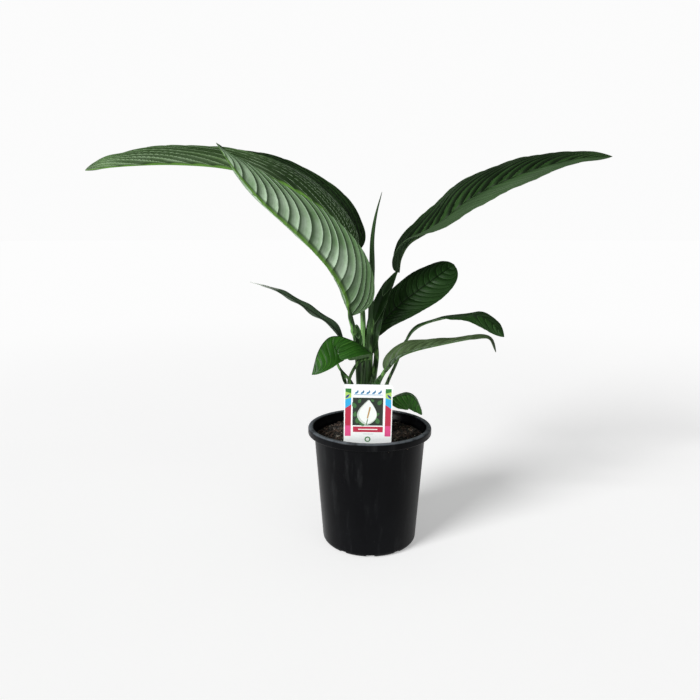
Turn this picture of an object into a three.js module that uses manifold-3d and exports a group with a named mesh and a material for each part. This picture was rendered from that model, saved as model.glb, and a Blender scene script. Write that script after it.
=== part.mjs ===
// Potted peace lily: a round nursery pot full of potting mix, a crown that carries nine leaves
// and one rolled spear leaf, and a card tag standing just inside the front of the rim.
// Millimetres, +Z up. The origin is the middle of the pot's base. The largest leaves
// reach out along -X and +X, and the tag faces -Y.

import * as THREE from 'three';
import { mergeVertices } from 'three/addons/utils/BufferGeometryUtils.js';
import Module from 'manifold-3d';

const wasm = await Module();
wasm.setup();

// ---- driving dimensions ----

const GAP = 0.4;                // clearance between pieces that touch

const POT_HEIGHT = 195;
const POT_RIM_RADIUS = 100;     // outside of the rolled rim
const POT_TOP_RADIUS = 90;      // outside of the wall just under the rim
const POT_BASE_RADIUS = 77;     // outside of the wall where the bottom corner starts
const POT_CORNER = 10;          // radius of the bottom corner
const POT_WALL = 1.8;
const POT_FLOOR = 2.6;
const RIM_BAND = 12;            // height of the rim's outer face
const RIM_BEND = 3.5;           // radius of the rim's edges
const BASE_PAD_RADIUS = 30;     // flat pad in the middle of the base
const BASE_RECESS = 1.4;        // depth of the recess between pad and foot ring
const FOOT_RING = 7;            // from the ring's inner edge to the bottom corner
const RECESS_SLOPE = 2;         // the recess narrows this much on each side on its way up
const MOUTH_BEND = 2;           // radius of the rim's inner edge
const RIM_DEPTH = 8;            // from the rim's outer face to the mouth
const DRAIN_COUNT = 10;
const DRAIN_WIDTH = 13;
const DRAIN_HEIGHT = 5;
const DRAIN_LENGTH = 20;
const ROUND_SIDES = 40;

const MIX_LEVEL = 177;          // top of the potting mix at the pot wall
const MIX_CROWN_RISE = 3;       // the mix is mounded up around the crown

const CROWN_CENTRE = [-5.5, -1];
const CROWN_RADIUS = 21;
const CROWN_BOTTOM = 150;
const CROWN_TOP = 186.5;
const WELL_HEIGHT = 60;         // the hole in the mix that the crown stands in

const TAG_WIDTH = 72;
const TAG_TOP = 281;
const TAG_SHOULDER = 190;       // where the card starts to narrow to its stake
const STAKE_WIDTH = 24;
const STAKE_TIP = 128;
const STAKE_POINT = 12;         // height of the stake's pointed end
const STAKE_TAPER = 0.7;        // the stake is this much of its width where the point starts
const SHOULDER_BEND = 14;       // height over which the card narrows to its stake
const SLIT_HEIGHT = 80;
const SLIT_SPARE = 14;          // the slit is this much wider than the stake
const TAG_THICKNESS = 0.8;
const TAG_PLACE = [-5.7, -78];
const TAG_ROLL = 0.9;           // degrees, the card leans a little to the right

const BLADE_THICKNESS = 1.4;
const BLADE_ENDS = 0.9;         // half width left at the base and tip of a blade
const BLADE_ACROSS = 3;         // facets in each half of a blade
const STALK_SIDES = 8;
const STALK_STEPS = 11;
const STALK_BASE_Z = CROWN_TOP + GAP + 0.4;

// One entry per leaf. `stalk` runs from the crown to the blade, `spine` is the midrib from
// base to tip, and `face` is the way the upper side looks at base, middle and tip. `left` and
// `right` are how far, in degrees, each half is folded up from flat at those three places.
// `shape` holds the two powers of the outline: small values give blunt ends.
const LEAVES = {
  rear_left: {
    stalk: [[-10, 9], [-9.5, 13, 262], [-10, 18, 330], [-13, 25, 396], [-26, 32, 468]],
    radius: [4.2, 2.6],
    spine: [[-26, 32, 470], [-40, 32, 503], [-72, 27, 538], [-139, 14, 580], [-215, 2, 599],
      [-290, -8, 604], [-360, -14, 601], [-426, -18, 594]],
    face: [[0.8, -0.2, 0.4], [0.1, -0.05, 1], [0, 0.25, 1]],
    half: 56, shape: [0.38, 0.72], left: [42, 30, 38], right: [46, 36, 50], steps: 20,
  },
  front_left: {
    stalk: [[-15, -4], [-17, -6, 262], [-22, -9, 332], [-31, -18, 373]],
    radius: [4.2, 2.8],
    spine: [[-31, -18, 375], [-39, -26, 409], [-61, -47, 449], [-100, -75, 494],
      [-150, -105, 542], [-183, -125, 582], [-205, -140, 617]],
    face: [[0.5, 0.75, 0.5], [0.3, 0.75, 0.6], [0.3, 0.75, 0.6]],
    half: 56, shape: [0.34, 0.84], left: [46, 40, 40], right: [46, 44, 44], steps: 18,
  },
  right: {
    stalk: [[-1, 10], [-0.5, 14.5, 262], [2, 24, 338], [11, 38, 380], [25, 49, 411], [44, 60, 436]],
    radius: [4.2, 2.6],
    spine: [[46, 60, 438], [50, 61, 462], [64, 60, 486], [92, 56, 504], [121, 50, 524],
      [157, 42, 554], [201, 30, 578], [258, 15, 600], [316, 5, 613], [364, 0, 616]],
    face: [[-0.9, -0.05, 0.3], [-0.2, -0.34, 1], [-0.1, -0.36, 1]],
    half: 58, shape: [0.5, 0.88], left: [-10, 17, 14], right: [50, 3, 10], steps: 20,
  },
  middle: {
    stalk: [[2.5, -0.5], [3, -1, 235], [6, 4, 268], [11, 20, 303], [11, 38, 328]],
    radius: [4, 2.6],
    spine: [[11, 44, 332], [24, 51, 358], [53, 61, 386], [86, 71, 411], [119, 80, 437],
      [144, 88, 454]],
    face: [[-0.3, -0.8, 0.5], [-0.3, -0.8, 0.6], [0.2, -0.7, 0.7]],
    half: 37, shape: [0.75, 0.4], left: [8, 0, -10], right: [6, -6, -10], steps: 14,
  },
  upper_right: {
    stalk: [[8, -9], [16, -10, 225], [27, -10, 266], [40, -5, 295], [54, 4, 328]],
    radius: [3, 1.8],
    spine: [[55, 5, 330], [68, 10, 348], [88, 13, 360], [122, 13, 369], [150, 7, 373],
      [172, -2, 374], [190, -11, 364], [208, -20, 343]],
    face: [[-0.7, -0.1, 0.6], [-0.1, 0.1, 1], [0.3, -0.7, 0.8]],
    half: 28, shape: [0.95, 0.8], left: [5, 3, 0], right: [5, -5, -45], steps: 16,
  },
  lower_right: {
    stalk: [[-1, -10], [4, -16, 225], [10, -21, 262], [21, -29, 289]],
    radius: [3, 1.9],
    spine: [[22, -30, 291], [41, -45, 316], [65, -60, 330], [109, -75, 343], [143, -85, 351],
      [168, -91, 353], [179, -95, 333]],
    face: [[-0.6, -0.2, 0.7], [-0.1, -0.1, 1], [0.5, -0.3, 0.8]],
    half: 27, shape: [0.42, 0.7], left: [50, 6, 6], right: [16, 16, 10], steps: 16,
  },
  thin_left: {
    stalk: [[-19, 5], [-22, 5, 225], [-29, 5, 262], [-49, 10, 287], [-53, 16, 302], [-47, 20, 317]],
    radius: [2.8, 1.6],
    spine: [[-46, 20, 319], [-49, 23, 336], [-62, 26, 354], [-86, 30, 371], [-113, 30, 389], [-138, 27, 405],
      [-163, 22, 416], [-191, 15, 426]],
    face: [[0.7, -0.3, 0.5], [0.2, -0.5, 0.8], [0.2, -0.5, 0.8]],
    half: 10, shape: [0.3, 1], left: [20, 20, 20], right: [15, 20, 20], steps: 15,
  },
  bright_left: {
    stalk: [[-12, -13], [-24, -17, 230], [-34, -20, 266], [-27, -23, 291], [-15, -26, 307],
      [-1, -27, 311]],
    radius: [2.8, 1.8],
    spine: [[4, -28, 316], [-7, -36, 327], [-21, -42, 334], [-35, -47, 340], [-50, -52, 341],
      [-65, -58, 334], [-78, -66, 317], [-89, -74, 295]],
    face: [[0.3, -0.5, 0.8], [-0.05, -0.7, 0.7], [-0.8, -0.6, 0.2]],
    half: 32, shape: [0.4, 0.7], left: [-40, -15, -5], right: [-50, -32, -10], steps: 14,
  },
  low_right: {
    stalk: [[8, 9], [17, 14, 212], [26, 22, 230]],
    radius: [2.6, 1.8],
    spine: [[28, 24, 231], [40, 30, 233], [55, 36, 235], [69, 40, 234], [79, 42, 225],
      [86, 42, 211], [90, 40, 200]],
    face: [[-0.3, -0.6, 0.8], [0.2, -0.7, 0.7], [0.8, -0.5, 0.3]],
    half: 26, shape: [0.4, 0.6], left: [-60, -50, -20], right: [-10, -16, -5], steps: 12,
  },
};

// Two short pointed sheaths that stand at the foot of the smaller leaves.
const SHEATHS = {
  left: {
    spine: [[-38, -2, 262], [-41, -3, 270], [-44, -3, 278], [-47, -2, 285]],
    face: [[0.5, -0.8, 0.3], [0.5, -0.8, 0.3], [0.5, -0.8, 0.3]],
    half: 3.5, shape: [0.5, 0.7], left: [15, 15, 15], right: [15, 15, 15], steps: 5,
  },
  right: {
    spine: [[7, -30, 240], [8, -31, 255], [11, -33, 270], [16, -36, 283]],
    face: [[-0.5, -0.8, 0.2], [-0.5, -0.8, 0.2], [-0.5, -0.8, 0.2]],
    half: 5, shape: [0.5, 0.6], left: [20, 20, 20], right: [20, 20, 20], steps: 6,
  },
};

// The youngest leaf is still rolled up: a slender closed cone from the crown to its tip.
const SPEAR_LINE = [[-6, 0.5], [-6, 3, 262], [-3, 9, 330], [1, 15, 380], [3, 15, 445],
  [3, 12, 491], [8, 8, 529], [17, 5, 564]];
const SPEAR_RADIUS = 4;         // at its thickest, two fifths of the way up
const SPEAR_TIP_RADIUS = 0.4;
const SPEAR_STEPS = 22;

// ---- helpers ----

const radians = THREE.MathUtils.degToRad;

function vectors(points) {
  return points.map(([x, y, z = STALK_BASE_Z]) => new THREE.Vector3(x, y, z));
}

function spline(points) {
  return new THREE.CatmullRomCurve3(vectors(points), false, 'catmullrom', 0.5);
}

// A smooth value that passes through three given ones at t = 0, 0.5 and 1.
function blend(base, middle, tip, t) {
  return base * (1 - t) * (1 - 2 * t) + middle * 4 * t * (1 - t) + tip * t * (2 * t - 1);
}

// A closed body through a row of rings with the same number of points, flat at both ends.
function loft(rings) {
  const count = rings[0].length;
  const last = (rings.length - 1) * count;
  const index = [];
  for (let start = 0; start < last; start += count) {
    for (let j = 0; j < count; j++) {
      const a = start + j;
      const b = start + (j + 1) % count;
      index.push(a, b, a + count, b, b + count, a + count);
    }
  }
  for (let j = 0; j < count / 2 - 1; j++) {
    const [a, b, c, d] = [j, j + 1, count - 2 - j, count - 1 - j];
    index.push(a, d, b, b, d, c);
    index.push(last + a, last + b, last + d, last + b, last + c, last + d);
  }
  const geometry = new THREE.BufferGeometry();
  const positions = rings.flat().flatMap((point) => point.toArray());
  geometry.setAttribute('position', new THREE.Float32BufferAttribute(positions, 3));
  geometry.setIndex(index);
  geometry.computeVertexNormals();
  return geometry;
}

// A round bar along a line, with its radius given as a function of the way along.
function bar(points, steps, radiusAt) {
  const curve = spline(points);
  const frames = curve.computeFrenetFrames(steps, false);
  const centres = curve.getSpacedPoints(steps);
  const rings = centres.map((centre, i) => {
    const radius = radiusAt(i / steps);
    return Array.from({ length: STALK_SIDES }, (_, j) => {
      const angle = (j + 0.5) * 2 * Math.PI / STALK_SIDES;
      return centre.clone()
        .addScaledVector(frames.normals[i], radius * Math.cos(angle))
        .addScaledVector(frames.binormals[i], radius * Math.sin(angle));
    });
  });
  return loft(rings);
}

// A folded blade: a thin sheet whose two halves rise from the midrib.
function blade({ spine, face, half, shape, left, right, steps }) {
  const curve = spline(spine);
  const centres = curve.getSpacedPoints(steps);
  const [p, q] = shape;
  const widest = p / (p + q);
  const peak = widest ** p * (1 - widest) ** q;
  const rings = centres.map((centre, i) => {
    const t = i / steps;
    const along = curve.getTangentAt(t);
    const up = new THREE.Vector3(...[0, 1, 2].map((k) => blend(face[0][k], face[1][k], face[2][k], t)));
    up.addScaledVector(along, -up.dot(along)).normalize();
    const side = along.clone().cross(up);
    const width = Math.max(BLADE_ENDS, half * t ** p * (1 - t) ** q / peak);
    const upper = [];
    const lower = [];
    for (let j = -BLADE_ACROSS; j <= BLADE_ACROSS; j++) {
      const angle = radians(j < 0 ? blend(...left, t) : blend(...right, t));
      const sign = Math.sign(j);
      const reach = width * Math.abs(j) / BLADE_ACROSS;
      const middle = centre.clone()
        .addScaledVector(side, sign * reach * Math.cos(angle))
        .addScaledVector(up, reach * Math.sin(angle));
      const out = up.clone().multiplyScalar(Math.cos(angle));
      out.addScaledVector(side, -sign * Math.sin(angle));
      if (j === 0) out.copy(up);
      upper.push(middle.clone().addScaledVector(out, BLADE_THICKNESS / 2));
      lower.unshift(middle.clone().addScaledVector(out, -BLADE_THICKNESS / 2));
    }
    return [...upper, ...lower];
  });
  return loft(rings);
}

// Points of a round corner in a lathe profile, from one angle to another in degrees.
function corner(x, y, radius, from, to, steps = 4) {
  return Array.from({ length: steps + 1 }, (_, i) => {
    const angle = radians(from + (to - from) * i / steps);
    return [x + radius * Math.cos(angle), y + radius * Math.sin(angle)];
  });
}

function turned(profile) {
  const geometry = new THREE.LatheGeometry(profile.map(([x, y]) => new THREE.Vector2(x, y)), ROUND_SIDES);
  return geometry.rotateX(Math.PI / 2);
}

function toSolid(geometry) {
  const bare = geometry.clone();
  bare.deleteAttribute('normal');
  bare.deleteAttribute('uv');
  const merged = mergeVertices(bare, 1e-3);
  const all = Array.from(merged.index.array);
  const triVerts = [];
  for (let i = 0; i < all.length; i += 3) {
    const [a, b, c] = all.slice(i, i + 3);
    if (a !== b && b !== c && c !== a) triVerts.push(a, b, c);
  }
  return new wasm.Manifold(new wasm.Mesh({
    numProp: 3,
    vertProperties: new Float32Array(merged.attributes.position.array),
    triVerts: new Uint32Array(triVerts),
  }));
}

function toGeometry(solid) {
  const mesh = solid.getMesh();
  const geometry = new THREE.BufferGeometry();
  geometry.setAttribute('position', new THREE.BufferAttribute(mesh.vertProperties, 3));
  geometry.setIndex(new THREE.BufferAttribute(mesh.triVerts, 1));
  geometry.computeVertexNormals();
  return geometry;
}

// ---- materials ----

const material = (color, roughness) => new THREE.MeshStandardMaterial({ color, roughness, metalness: 0 });
const MATERIALS = {
  pot: material(0x17181a, 0.45),
  mix: material(0x241c17, 0.95),
  crown: material(0x4d5f35, 0.7),
  stalk: material(0x3f6a35, 0.5),
  blade: material(0x2c4c25, 0.45),
  tag: material(0xf2f4f3, 0.35),
};

const lily = new THREE.Group();
lily.name = 'potted_peace_lily';

function add(name, geometry, finish) {
  const mesh = new THREE.Mesh(geometry, finish);
  mesh.name = name;
  lily.add(mesh);
}

// ---- pot: one moulding with a rolled rim, a foot ring and drain slots in the bottom corner ----

const footEdge = POT_BASE_RADIUS - POT_CORNER;
const rimBottom = POT_HEIGHT - RIM_BAND;
const innerTop = POT_TOP_RADIUS - POT_WALL;
const rimInside = POT_RIM_RADIUS - RIM_DEPTH;
const innerCorner = POT_CORNER - POT_WALL;

const potOuter = [
  [0, 0], [BASE_PAD_RADIUS, 0], [BASE_PAD_RADIUS + RECESS_SLOPE, BASE_RECESS],
  [footEdge - FOOT_RING - RECESS_SLOPE, BASE_RECESS], [footEdge - FOOT_RING, 0],
  ...corner(footEdge, POT_CORNER, POT_CORNER, -90, -4),
  [POT_TOP_RADIUS, rimBottom - 1],
  [POT_RIM_RADIUS - RIM_BEND, rimBottom],
  ...corner(POT_RIM_RADIUS - RIM_BEND / 2, rimBottom + RIM_BEND / 2, RIM_BEND / 2, -60, 0, 2),
  ...corner(POT_RIM_RADIUS - RIM_BEND, POT_HEIGHT - RIM_BEND, RIM_BEND, 0, 90),
];
const potInner = [
  ...corner(rimInside + MOUTH_BEND, POT_HEIGHT - MOUTH_BEND, MOUTH_BEND, 90, 180, 2),
  [rimInside - 0.5, rimBottom + 4], [innerTop, rimBottom - 2],
  ...corner(footEdge, POT_CORNER + 0.6, innerCorner, -4, -90),
  [0, POT_FLOOR],
];
let pot = toSolid(turned([...potOuter, ...potInner]));
for (let i = 0; i < DRAIN_COUNT; i++) {
  const slot = new THREE.BoxGeometry(DRAIN_LENGTH, DRAIN_WIDTH, DRAIN_HEIGHT * 2);
  slot.translate(footEdge + FOOT_RING, 0, 0);
  slot.rotateZ((i + 0.5) * 2 * Math.PI / DRAIN_COUNT);
  pot = pot.subtract(toSolid(slot));
}
add('pot', toGeometry(pot), MATERIALS.pot);

// ---- potting mix: fills the pot, with a well for the crown and a slit for the tag's stake ----

const mixWall = (z) => THREE.MathUtils.mapLinear(z, POT_CORNER, rimBottom - 2,
  footEdge + innerCorner, innerTop) - GAP;
const mixProfile = [
  [0, POT_FLOOR + GAP],
  ...corner(footEdge, POT_CORNER + 1, innerCorner - GAP, -90, -8),
  [mixWall(MIX_LEVEL), MIX_LEVEL],
  [mixWall(MIX_LEVEL) - 25, MIX_LEVEL + 1], [CROWN_RADIUS + 6, MIX_LEVEL + MIX_CROWN_RISE],
  [0, MIX_LEVEL + MIX_CROWN_RISE],
];
const well = new THREE.CylinderGeometry(CROWN_RADIUS + GAP, CROWN_RADIUS + GAP, WELL_HEIGHT, 24);
well.rotateX(Math.PI / 2).translate(...CROWN_CENTRE, CROWN_BOTTOM - GAP + WELL_HEIGHT / 2);
const slit = new THREE.BoxGeometry(STAKE_WIDTH + SLIT_SPARE, TAG_THICKNESS + 2 * GAP, SLIT_HEIGHT);
slit.translate(TAG_PLACE[0], TAG_PLACE[1], STAKE_TIP - 2 + SLIT_HEIGHT / 2);
const mix = toSolid(turned(mixProfile)).subtract(toSolid(well)).subtract(toSolid(slit));
add('potting_mix', toGeometry(mix), MATERIALS.mix);

// ---- crown: the short thick stem that every stalk grows from ----

const crown = turned([
  [0, CROWN_BOTTOM], [CROWN_RADIUS * 0.7, CROWN_BOTTOM], [CROWN_RADIUS * 0.95, CROWN_BOTTOM + 10],
  [CROWN_RADIUS, CROWN_TOP - 12], [CROWN_RADIUS * 0.95, CROWN_TOP - 3],
  [CROWN_RADIUS * 0.85, CROWN_TOP], [0, CROWN_TOP],
]);
add('crown', crown.translate(...CROWN_CENTRE, 0), MATERIALS.crown);

// ---- leaves: a stalk and a blade each ----

for (const [name, leaf] of Object.entries(LEAVES)) {
  const [thick, thin] = leaf.radius;
  const stalk = bar(leaf.stalk, STALK_STEPS, (t) => THREE.MathUtils.lerp(thick, thin, t));
  add(`stalk_${name}`, stalk, MATERIALS.stalk);
  add(`blade_${name}`, blade(leaf), MATERIALS.blade);
}
for (const [name, sheath] of Object.entries(SHEATHS)) {
  add(`sheath_${name}`, blade(sheath), MATERIALS.stalk);
}
function spearRadius(t) {
  const towardsTip = Math.min(1, (1 - t) * 2.2);
  const aboveFoot = 0.8 + 0.2 * Math.min(1, t * 2.5);
  return SPEAR_TIP_RADIUS + (SPEAR_RADIUS - SPEAR_TIP_RADIUS) * towardsTip * aboveFoot;
}
add('spear_leaf', bar(SPEAR_LINE, SPEAR_STEPS, spearRadius), MATERIALS.blade);

// ---- tag: a flat card that narrows to a pointed stake pushed into the mix ----

const halfCard = TAG_WIDTH / 2;
const halfStake = STAKE_WIDTH / 2;
const outline = new THREE.Shape();
outline.moveTo(-halfCard, TAG_TOP);
outline.lineTo(-halfCard, TAG_SHOULDER);
outline.quadraticCurveTo(-halfStake - 2, TAG_SHOULDER - 2, -halfStake, TAG_SHOULDER - SHOULDER_BEND);
outline.lineTo(-halfStake * STAKE_TAPER, STAKE_TIP + STAKE_POINT);
outline.lineTo(0, STAKE_TIP);
outline.lineTo(halfStake * STAKE_TAPER, STAKE_TIP + STAKE_POINT);
outline.lineTo(halfStake, TAG_SHOULDER - SHOULDER_BEND);
outline.quadraticCurveTo(halfStake + 2, TAG_SHOULDER - 2, halfCard, TAG_SHOULDER);
outline.lineTo(halfCard, TAG_TOP);
const tag = new THREE.ExtrudeGeometry(outline, { depth: TAG_THICKNESS, bevelEnabled: false, curveSegments: 5 });
tag.translate(0, -TAG_SHOULDER, -TAG_THICKNESS / 2).rotateZ(radians(-TAG_ROLL)).translate(0, TAG_SHOULDER, 0);
tag.rotateX(Math.PI / 2).translate(...TAG_PLACE, 0);
add('plant_tag', tag, MATERIALS.tag);

export default lily;
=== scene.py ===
"""Potted peace lily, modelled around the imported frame: a black nursery pot of bark mix, nine leaves
on stalks, one leaf still rolled, and a printed tag. Lengths in the leaf lists are millimetres."""

import math
import random

import bmesh
import bpy
from mathutils import Matrix, Vector, noise


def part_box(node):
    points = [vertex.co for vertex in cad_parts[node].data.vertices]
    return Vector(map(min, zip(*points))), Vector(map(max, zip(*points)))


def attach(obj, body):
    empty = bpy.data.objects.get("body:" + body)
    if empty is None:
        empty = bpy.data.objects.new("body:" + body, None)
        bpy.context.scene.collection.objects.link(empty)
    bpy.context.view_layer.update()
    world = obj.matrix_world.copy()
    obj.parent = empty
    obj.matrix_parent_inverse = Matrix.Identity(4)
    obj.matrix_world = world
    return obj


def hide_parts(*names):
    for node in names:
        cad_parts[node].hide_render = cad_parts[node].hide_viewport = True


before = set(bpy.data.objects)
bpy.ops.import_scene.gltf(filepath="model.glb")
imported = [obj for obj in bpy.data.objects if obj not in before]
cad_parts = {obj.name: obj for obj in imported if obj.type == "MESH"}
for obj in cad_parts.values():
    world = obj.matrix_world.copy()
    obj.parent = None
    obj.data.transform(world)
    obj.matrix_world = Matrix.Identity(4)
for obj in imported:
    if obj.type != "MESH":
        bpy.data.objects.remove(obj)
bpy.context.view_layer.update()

MM = 0.001

# ---- camera: at standing arm's length, a little above the middle of the plant, looking slightly down ----

CAMERA_PLACE = (-0.032, -1.0, 0.504)
CAMERA_DIP = 10.5            # degrees below level
CAMERA_LENS = 32.8

camera_data = bpy.data.cameras.new("camera")
camera_data.lens = CAMERA_LENS
camera = bpy.data.objects.new("camera", camera_data)
camera.location = CAMERA_PLACE
camera.rotation_euler = (math.radians(90 - CAMERA_DIP), 0, 0)
bpy.context.scene.collection.objects.link(camera)
bpy.context.scene.camera = camera


# ---- pot ----
# One injection moulding in black polypropylene, with a rolled rim, a thin tapering wall, a foot
# ring and drain slots cut through the bottom corner. Everything else stands in it.

POT_WALL = 1.8 * MM
POT_FLOOR = 2.6 * MM
POT_CORNER = 10 * MM
RIM_BAND = 12 * MM
RIM_BEND = 3.5 * MM
RIM_DEPTH = 8 * MM           # from the rim's outer face to the mouth
MOUTH_BEND = 2 * MM          # radius of the rim's inner edge
POT_NECK = 10 * MM           # the wall under the rim is this much smaller than the rim
POT_DRAFT = 13 * MM          # the wall draws in this much from neck to foot
BASE_PAD = 30 * MM           # flat pad in the middle of the base
FOOT_RING = 7 * MM           # from the ring's inner edge to the bottom corner
FOOT_RECESS = 1.4 * MM       # between pad and ring
RECESS_SLOPE = 2 * MM
DRAIN_COUNT = 10
DRAIN_SIZE = (20 * MM, 13 * MM, 10 * MM)    # length, width, twice the height left open
POT_TURN_STEPS = 144


def new_piece(name, bm, finishes, replaces=()):
    """Makes a finished mesh into a piece of the object."""
    mesh = bpy.data.meshes.new(name)
    bm.to_mesh(mesh)
    bm.free()
    for finish in finishes:
        mesh.materials.append(finish)
    piece = bpy.data.objects.new(name, mesh)
    bpy.context.scene.collection.objects.link(piece)
    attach(piece, "root")
    if replaces:
        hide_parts(*replaces)
    return piece


def smooth(bm, sharp_angle=40):
    """Shades the faces smooth, with hard edges where they turn sharply."""
    for face in bm.faces:
        face.smooth = True
    for edge in bm.edges:
        if len(edge.link_faces) == 2 and edge.calc_face_angle(0) > math.radians(sharp_angle):
            edge.smooth = False


class Finish:
    """A material's nodes, with short ways to add and join them."""

    def __init__(self, name, roughness=0.5, specular=0.5):
        self.material = bpy.data.materials.new(name)
        self.material.use_nodes = True
        self.nodes = self.material.node_tree.nodes
        self.shader = self.nodes["Principled BSDF"]
        self.shader.inputs["Roughness"].default_value = roughness
        self.shader.inputs["Specular IOR Level"].default_value = specular

    def add(self, kind, inputs=(), **settings):
        node = self.nodes.new("ShaderNode" + kind)
        for name, value in settings.items():
            setattr(node, name, value)
        for name, value in dict(inputs).items():
            self.join(value, node.inputs[name])
        return node

    def join(self, value, socket):
        if isinstance(value, bpy.types.NodeSocket):
            self.material.node_tree.links.new(value, socket)
        elif socket.type == "RGBA":
            socket.default_value = (*value, 1)
        else:
            socket.default_value = value

    def set(self, name, value):
        self.join(value, self.shader.inputs[name])

    def place(self, scale=(1, 1, 1)):
        coordinates = self.add("TexCoord").outputs["Object"]
        return self.add("Mapping", {"Vector": coordinates, "Scale": scale}).outputs["Vector"]

    def noise(self, vector, scale, detail=3.0, roughness=0.5):
        inputs = {"Vector": vector, "Scale": scale, "Detail": detail, "Roughness": roughness}
        return self.add("TexNoise", inputs).outputs["Fac"]

    def attribute(self, name):
        return self.add("Attribute", attribute_name=name).outputs["Fac"]

    def math(self, operation, a, b=0.0, c=0.0):
        return self.add("Math", {0: a, 1: b, 2: c}, operation=operation).outputs[0]

    def spread(self, value, low, high, to_low=0.0, to_high=1.0):
        inputs = {"Value": value, "From Min": low, "From Max": high, "To Min": to_low, "To Max": to_high}
        return self.add("MapRange", inputs, interpolation_type="SMOOTHSTEP").outputs["Result"]

    def mix(self, amount, a, b):
        node = self.add("Mix", {0: amount, 6: a, 7: b}, data_type="RGBA")
        return node.outputs[2]

    def bump(self, height, distance, strength=1.0, under=None):
        inputs = {"Height": height, "Distance": distance, "Strength": strength}
        if under is not None:
            inputs["Normal"] = under
        return self.add("Bump", inputs).outputs["Normal"]


def tinted(colour, amount):
    """The same colour, darker or paler."""
    return tuple(c * amount for c in colour)


def corner(x, z, radius, start, end, steps=8):
    """Points of a round corner in a turned profile, from one angle to another in degrees."""
    angles = [math.radians(start + (end - start) * i / steps) for i in range(steps + 1)]
    return [(x + radius * math.cos(a), z + radius * math.sin(a)) for a in angles]


def turn(profile, steps):
    """Spins a profile of (radius, height) points about the upright axis into a closed solid."""
    bm = bmesh.new()
    points = [bm.verts.new((x, 0, z)) for x, z in profile]
    edges = [bm.edges.new(pair) for pair in zip(points, points[1:])]
    bmesh.ops.spin(bm, geom=points + edges, cent=(0, 0, 0), axis=(0, 0, 1), angle=math.tau,
                   steps=steps, use_merge=True)
    bmesh.ops.remove_doubles(bm, verts=bm.verts, dist=1e-6)
    bmesh.ops.recalc_face_normals(bm, faces=bm.faces)
    return bm


pot_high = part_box("pot")[1]
rim_radius = pot_high.x
POT_TOP = pot_high.z


def pot_finish():
    finish = Finish("black_pot", roughness=0.3, specular=0.055)
    here = finish.place()
    clouds = finish.noise(here, 9, 4, 0.6)
    drips = finish.noise(finish.place((60, 60, 9)), 1, 5, 0.65)
    height = finish.add("SeparateXYZ", {"Vector": here}).outputs["Z"]
    rubbed = finish.spread(finish.noise(finish.place((70, 70, 110)), 1, 6, 0.75), 0.60, 0.74)
    scuffs = finish.math("MULTIPLY", rubbed, finish.spread(height, 10 * MM, 90 * MM, 0.9, 0.12))
    dust = finish.spread(drips, 0.52, 0.78)
    cloudy = finish.spread(clouds, 0.3, 0.7)
    black = finish.mix(cloudy, (0.0018, 0.0019, 0.0024), (0.0034, 0.0037, 0.0046))
    dusty = finish.mix(finish.math("MULTIPLY", dust, 0.22), black, (0.055, 0.058, 0.06))
    scuffed = finish.mix(finish.math("MULTIPLY", scuffs, 0.3), dusty, (0.07, 0.078, 0.084))
    # Painted highlight: a paler band along the rim's top edge, broken up by the drip noise, where the rim
    # catches the light.
    top_edge = finish.spread(height, POT_TOP - 2.6 * MM, POT_TOP - 0.4 * MM)
    rim_highlight = finish.math("MULTIPLY", top_edge, finish.spread(drips, 0.2, 0.6))
    finish.set("Base Color", finish.mix(rim_highlight, scuffed, (0.115, 0.13, 0.145)))
    rough = finish.spread(clouds, 0.25, 0.75, 0.26, 0.38)
    rough = finish.math("ADD", rough, finish.math("MULTIPLY", dust, 0.12))
    finish.set("Roughness", finish.math("ADD", rough, finish.math("MULTIPLY", scuffs, 0.12)))
    grain = finish.noise(here, 900, 2, 0.5)
    ripple = finish.noise(finish.place((1, 1, 0.35)), 38, 2, 0.4)
    fine = finish.bump(grain, 0.00006, 0.5)
    finish.set("Normal", finish.bump(ripple, 0.0007, 0.35, fine))
    return finish.material


neck_radius = rim_radius - POT_NECK
foot_edge = neck_radius - POT_DRAFT - POT_CORNER
rim_bottom = POT_TOP - RIM_BAND
mouth_radius = rim_radius - RIM_DEPTH
wall_inside = neck_radius - POT_WALL
inner_corner = POT_CORNER - POT_WALL

pot_profile = [(0, 0), (BASE_PAD, 0), (BASE_PAD + RECESS_SLOPE, FOOT_RECESS)]
pot_profile += [(foot_edge - FOOT_RING - RECESS_SLOPE, FOOT_RECESS), (foot_edge - FOOT_RING, 0)]
pot_profile += corner(foot_edge, POT_CORNER, POT_CORNER, -90, -4)
pot_profile += [(neck_radius - 0.4 * MM, rim_bottom - 6 * MM)]
pot_profile += [(neck_radius, rim_bottom - 1.6 * MM), (neck_radius + 0.9 * MM, rim_bottom - 0.4 * MM)]
pot_profile += corner(rim_radius - RIM_BEND * 0.6, rim_bottom + RIM_BEND * 0.6, RIM_BEND * 0.6, -85, 0, 6)
pot_profile += corner(rim_radius - RIM_BEND, POT_TOP - RIM_BEND, RIM_BEND, 0, 90, 10)
pot_profile += corner(mouth_radius + MOUTH_BEND, POT_TOP - MOUTH_BEND, MOUTH_BEND, 90, 180, 6)
pot_profile += [(mouth_radius - 0.5 * MM, rim_bottom + 4 * MM), (wall_inside + 0.6 * MM, rim_bottom)]
pot_profile += [(wall_inside, rim_bottom - 3 * MM)]
pot_profile += corner(foot_edge, POT_CORNER + 0.6 * MM, inner_corner, -4, -90)
pot_profile += [(0, POT_FLOOR)]
pot_mesh = turn(pot_profile, POT_TURN_STEPS)
smooth(pot_mesh, 35)
pot = new_piece("nursery_pot", pot_mesh, [pot_finish()], ["pot"])

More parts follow.
